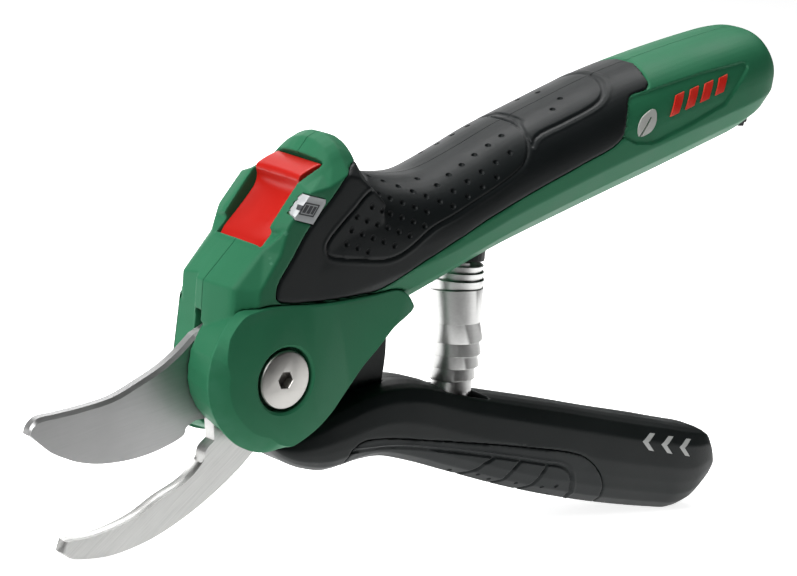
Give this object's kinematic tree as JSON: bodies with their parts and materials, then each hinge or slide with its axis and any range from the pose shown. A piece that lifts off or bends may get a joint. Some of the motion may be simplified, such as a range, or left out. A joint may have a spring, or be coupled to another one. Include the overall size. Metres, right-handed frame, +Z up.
{
  "type": "battery electric pruner",
  "caption": "Powered bypass pruner: rounded upper handle with cell and motor, fixed hook, and a sprung lever that carries the cutting blade.",
  "frame": {"origin": "middle of the bounding box on the surface that the hook and the lower handle touch", "axes": "+X from the blades towards the handle ends, +Y across the tool towards the blade's side, +Z up"},
  "size_m": [0.2304, 0.033, 0.1346],
  "materials": {
    "green_plastic": "fine grained green moulded plastic, satin",
    "soft_grip": "black soft overmould, matt with dimpled pads",
    "soft_insert": "black soft overmould with dimples and curved grooves",
    "port_rubber": "black rubber",
    "red_plastic": "red moulded plastic, semi gloss",
    "black_plastic": "black moulded plastic, fine grain",
    "blade_steel": "ground steel with fine lengthwise grinding marks",
    "nickel": "nickel plated steel",
    "spring_steel": "bright rolled spring strip",
    "machined_steel": "machined steel",
    "screw_steel": "zinc plated screws",
    "brass": "sintered bronze and brass",
    "circuit_board": "green circuit board",
    "window": "silver printed indicator window",
    "cell_wrap": "shrink wrapped lithium cell"
  },
  "bodies": {
    "housing": {"battery_cell": "cell_wrap", "cell_tab_front": "nickel", "cell_tab_rear": "nickel", "charge_socket": "nickel", "control_board": "circuit_board", "gearbox_housing": "black_plastic", "grip_left": "soft_grip", "grip_right": "soft_grip", "hook_blade": "blade_steel", "hook_pin_1": "machined_steel", "hook_pin_2": "machined_steel", "housing_left": "green_plastic", "housing_right": "green_plastic", "housing_screw_1": "screw_steel", "housing_screw_2": "screw_steel", "housing_screw_3": "screw_steel", "housing_screw_4": "screw_steel", "housing_screw_5": "screw_steel", "housing_screw_6": "screw_steel", "indicator_board": "circuit_board", "indicator_window": "window", "lock_switch": "black_plastic", "motor_can": "machined_steel", "motor_end_cap": "black_plastic", "pivot_bolt": "nickel", "pivot_cover_left": "green_plastic", "pivot_cover_right": "green_plastic", "pivot_nut": "machined_steel", "pivot_washer": "machined_steel", "shaft_bush_left": "brass", "shaft_bush_right": "brass", "spring_cup": "black_plastic", "volute_spring": "spring_steel"},
    "lever": {"cutting_blade": "blade_steel", "pivot_bush": "brass", "lever_fin": "black_plastic", "drive_sector": "machined_steel", "lever_rivet_1": "machined_steel", "lever_rivet_2": "machined_steel", "lower_handle_left": "black_plastic", "lower_handle_right": "black_plastic", "lower_grip_insert": "soft_insert", "handle_screw_1": "screw_steel", "handle_screw_2": "screw_steel", "handle_screw_3": "screw_steel", "spring_foot": "machined_steel"},
    "lock": {"lock_slider": "red_plastic", "lock_bar": "machined_steel"},
    "port_flap": {"port_cover": "port_rubber"},
    "rotor": {"motor_rotor": "machined_steel", "sun_gear": "brass"},
    "carrier": {"planet_carrier": "machined_steel", "drive_pinion": "machined_steel"},
    "planet_1": {"planet_gear_1": "brass"},
    "planet_2": {"planet_gear_2": "brass"},
    "planet_3": {"planet_gear_3": "brass"},
    "crown": {"crown_gear": "machined_steel", "clutch_sleeve": "nickel"},
    "pinion_shaft": {"cross_shaft": "nickel", "sector_pinion": "machined_steel"}
  },
  "joints": [
    {"name": "lever_hinge", "type": "hinge", "parent": "housing", "child": "lever", "pos_m": [-0.0506, 0, 0.0454], "axis": [0, -1, 0], "range_deg": [0, 24], "stiffness_Nm_per_rad": 1.6, "springref_deg": -14.32, "deforming": ["volute_spring"]},
    {"name": "lock_slide", "type": "slide", "parent": "housing", "child": "lock", "axis": [-0.5605, 0, -0.8281], "range_m": [0, 0.0045]},
    {"name": "port_hinge", "type": "hinge", "parent": "housing", "child": "port_flap", "pos_m": [0.1055, 0, 0.10895], "axis": [0, 1, 0], "range_deg": [0, 100]},
    {"name": "rotor_spin", "type": "hinge", "parent": "housing", "child": "rotor", "pos_m": [-0.02113, 0, 0.07426], "axis": [0.9184, 0, 0.3955], "continuous": true},
    {"name": "carrier_spin", "type": "hinge", "parent": "housing", "child": "carrier", "pos_m": [-0.02113, 0, 0.07426], "axis": [0.9184, 0, 0.3955], "continuous": true},
    {"name": "planet_spin_1", "type": "hinge", "parent": "carrier", "child": "planet_1", "pos_m": [-0.02113, 0.0054, 0.07426], "axis": [0.9184, 0, 0.3955], "continuous": true},
    {"name": "planet_spin_2", "type": "hinge", "parent": "carrier", "child": "planet_2", "pos_m": [-0.02298, -0.0027, 0.07856], "axis": [0.9184, 0, 0.3955], "continuous": true},
    {"name": "planet_spin_3", "type": "hinge", "parent": "carrier", "child": "planet_3", "pos_m": [-0.01928, -0.0027, 0.06997], "axis": [0.9184, 0, 0.3955], "continuous": true},
    {"name": "crown_spin", "type": "hinge", "parent": "housing", "child": "crown", "pos_m": [-0.02113, 0, 0.07426], "axis": [0, 1, 0], "continuous": true},
    {"name": "sector_pinion_spin", "type": "hinge", "parent": "housing", "child": "pinion_shaft", "pos_m": [-0.02113, 0, 0.07426], "axis": [0, -1, 0], "range_deg": [-136, 0]}
  ],
  "couplings": [
    {"joint": "carrier_spin", "follows": "rotor_spin", "ratio": 0.25},
    {"joint": "planet_spin_1", "follows": "rotor_spin", "ratio": -0.75},
    {"joint": "planet_spin_2", "follows": "rotor_spin", "ratio": -0.75},
    {"joint": "planet_spin_3", "follows": "rotor_spin", "ratio": -0.75},
    {"joint": "crown_spin", "follows": "rotor_spin", "ratio": 0.090909},
    {"joint": "sector_pinion_spin", "follows": "lever_hinge", "ratio": -5.6}
  ]
}
